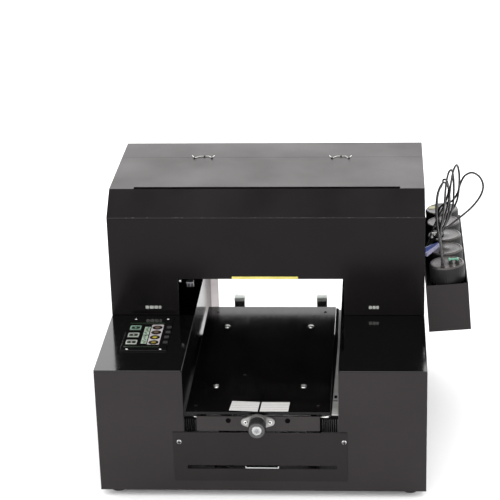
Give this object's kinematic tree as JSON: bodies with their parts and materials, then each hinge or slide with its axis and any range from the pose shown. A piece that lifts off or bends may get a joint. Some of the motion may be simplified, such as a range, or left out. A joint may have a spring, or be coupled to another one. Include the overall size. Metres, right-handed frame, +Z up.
{
  "type": "flatbed uv printer",
  "caption": "Desktop flatbed UV printer: sliding and lifting platen, flip-up lid, belt-driven print carriage, control keys, pull-out drip tray and a side rack of ink bottles.",
  "frame": {"origin": "middle of the printer's footprint, ink rack and knob included, on the surface its feet stand on", "axes": "+X to the operator's right along the print beam, +Y to the back along the bed's travel, +Z up"},
  "size_m": [0.6928, 0.5904, 0.5053],
  "materials": {
    "housing_coat": "fine black powder coat",
    "gloss_coat": "smooth gloss black enamel",
    "rubber_feet": "matt black rubber",
    "mode_keys": "membrane-style keys with printed pale green frames",
    "jog_keys": "round keys, two brown and two yellow, in a pale frame",
    "ink_bottles": "dark translucent plastic, full of ink",
    "bottle_caps": "moulded black caps",
    "ink_tubes": "flexible black tube",
    "bed_coat": "black powder coat",
    "platen_coat": "black anodised plate",
    "rail_steel": "ground steel",
    "bearing_steel": "plated flange",
    "knob_plastic": "knurled black plastic with a metal insert",
    "tray_metal": "plain aluminium sheet",
    "guide_steel": "plain steel strip",
    "carriage_plastic": "moulded dark grey",
    "head_metal": "cast and milled aluminium",
    "motor_metal": "black stepper motor",
    "pulley_metal": "turned aluminium",
    "belt_rubber": "toothed rubber belt",
    "inlet_plastic": "moulded black socket"
  },
  "bodies": {
    "housing": {"base_plate": "housing_coat", "foot_front_left": "rubber_feet", "foot_front_right": "rubber_feet", "foot_rear_left": "rubber_feet", "foot_rear_right": "rubber_feet", "left_side_panel": "housing_coat", "right_side_panel": "housing_coat", "left_inner_wall": "gloss_coat", "right_inner_wall": "gloss_coat", "front_panel": "housing_coat", "front_cover_plate": "housing_coat", "left_shoulder": "gloss_coat", "right_shoulder": "gloss_coat", "upper_front_panel": "housing_coat", "slanted_fascia": "housing_coat", "rear_deck": "housing_coat", "rear_panel": "housing_coat", "power_inlet": "inlet_plastic", "control_panel": "gloss_coat", "bed_rail_left": "rail_steel", "bed_rail_right": "rail_steel", "side_guide_strip": "guide_steel", "carriage_rail": "rail_steel", "carriage_motor": "motor_metal", "carriage_belt": "belt_rubber", "capping_station": "carriage_plastic", "ink_box": "housing_coat", "ink_bottle_1": "ink_bottles", "bottle_cap_1": "bottle_caps", "ink_bottle_2": "ink_bottles", "bottle_cap_2": "bottle_caps", "ink_bottle_3": "ink_bottles", "bottle_cap_3": "bottle_caps", "ink_bottle_4": "ink_bottles", "bottle_cap_4": "bottle_caps", "ink_bottle_5": "ink_bottles", "bottle_cap_5": "bottle_caps", "ink_tube_1": "ink_tubes", "ink_tube_2": "ink_tubes", "ink_tube_3": "ink_tubes", "ink_tube_4": "ink_tubes", "ink_tube_5": "ink_tubes"},
    "bed": {"bed_frame": "bed_coat", "knob_bearing": "bearing_steel"},
    "platen": {"platen": "platen_coat"},
    "knob": {"height_knob": "knob_plastic"},
    "tray": {"drip_tray": "tray_metal"},
    "print_carriage": {"carriage": "carriage_plastic", "print_head": "head_metal", "uv_lamp": "head_metal"},
    "drive_wheel": {"drive_pulley": "pulley_metal"},
    "idler_wheel": {"idler_pulley": "pulley_metal"},
    "top_lid": {"lid": "housing_coat"},
    "mode_key_1": {"mode_key_1": "mode_keys"},
    "mode_key_2": {"mode_key_2": "mode_keys"},
    "mode_key_3": {"mode_key_3": "mode_keys"},
    "jog_key_1": {"jog_key_1": "jog_keys"},
    "jog_key_2": {"jog_key_2": "jog_keys"},
    "jog_key_3": {"jog_key_3": "jog_keys"},
    "jog_key_4": {"jog_key_4": "jog_keys"}
  },
  "joints": [
    {"name": "bed_travel", "type": "slide", "parent": "housing", "child": "bed", "axis": [0, 1, 0], "range_m": [-0.22, 0.07]},
    {"name": "platen_lift", "type": "slide", "parent": "bed", "child": "platen", "axis": [0, 0, 1], "range_m": [0, 0.02]},
    {"name": "knob_turn", "type": "hinge", "parent": "bed", "child": "knob", "pos_m": [-0.04772, -0.28215, 0.1519], "axis": [0, 1, 0], "range_deg": [-1, 1441]},
    {"name": "tray_pull", "type": "slide", "parent": "housing", "child": "tray", "axis": [0, -1, 0], "range_m": [0, 0.15]},
    {"name": "carriage_travel", "type": "slide", "parent": "housing", "child": "print_carriage", "axis": [-1, 0, 0], "range_m": [0, 0.43]},
    {"name": "drive_wheel_turn", "type": "hinge", "parent": "housing", "child": "drive_wheel", "pos_m": [-0.29242, 0.11285, 0.345], "axis": [0, 1, 0], "range_deg": [-1, 2852]},
    {"name": "idler_wheel_turn", "type": "hinge", "parent": "housing", "child": "idler_wheel", "pos_m": [0.20758, 0.11285, 0.345], "axis": [0, 1, 0], "range_deg": [-1, 2852]},
    {"name": "lid_hinge", "type": "hinge", "parent": "housing", "child": "top_lid", "pos_m": [-0.04242, 0.20585, 0.481], "axis": [-1, 0, 0], "range_deg": [0, 100]},
    {"name": "mode_key_1_press", "type": "slide", "parent": "housing", "child": "mode_key_1", "axis": [0, 0, -1], "range_m": [0, 0.001], "stiffness_N_per_m": 300, "springref_m": -0.0005},
    {"name": "mode_key_2_press", "type": "slide", "parent": "housing", "child": "mode_key_2", "axis": [0, 0, -1], "range_m": [0, 0.001], "stiffness_N_per_m": 300, "springref_m": -0.0005},
    {"name": "mode_key_3_press", "type": "slide", "parent": "housing", "child": "mode_key_3", "axis": [0, 0, -1], "range_m": [0, 0.001], "stiffness_N_per_m": 300, "springref_m": -0.0005},
    {"name": "jog_key_1_press", "type": "slide", "parent": "housing", "child": "jog_key_1", "axis": [0, 0, -1], "range_m": [0, 0.001], "stiffness_N_per_m": 300, "springref_m": -0.0005},
    {"name": "jog_key_2_press", "type": "slide", "parent": "housing", "child": "jog_key_2", "axis": [0, 0, -1], "range_m": [0, 0.001], "stiffness_N_per_m": 300, "springref_m": -0.0005},
    {"name": "jog_key_3_press", "type": "slide", "parent": "housing", "child": "jog_key_3", "axis": [0, 0, -1], "range_m": [0, 0.001], "stiffness_N_per_m": 300, "springref_m": -0.0005},
    {"name": "jog_key_4_press", "type": "slide", "parent": "housing", "child": "jog_key_4", "axis": [0, 0, -1], "range_m": [0, 0.001], "stiffness_N_per_m": 300, "springref_m": -0.0005}
  ],
  "couplings": [
    {"joint": "knob_turn", "follows": "platen_lift", "rad_per_m": 1256.6},
    {"joint": "drive_wheel_turn", "follows": "carriage_travel", "rad_per_m": 115.61},
    {"joint": "idler_wheel_turn", "follows": "carriage_travel", "rad_per_m": 115.61}
  ]
}
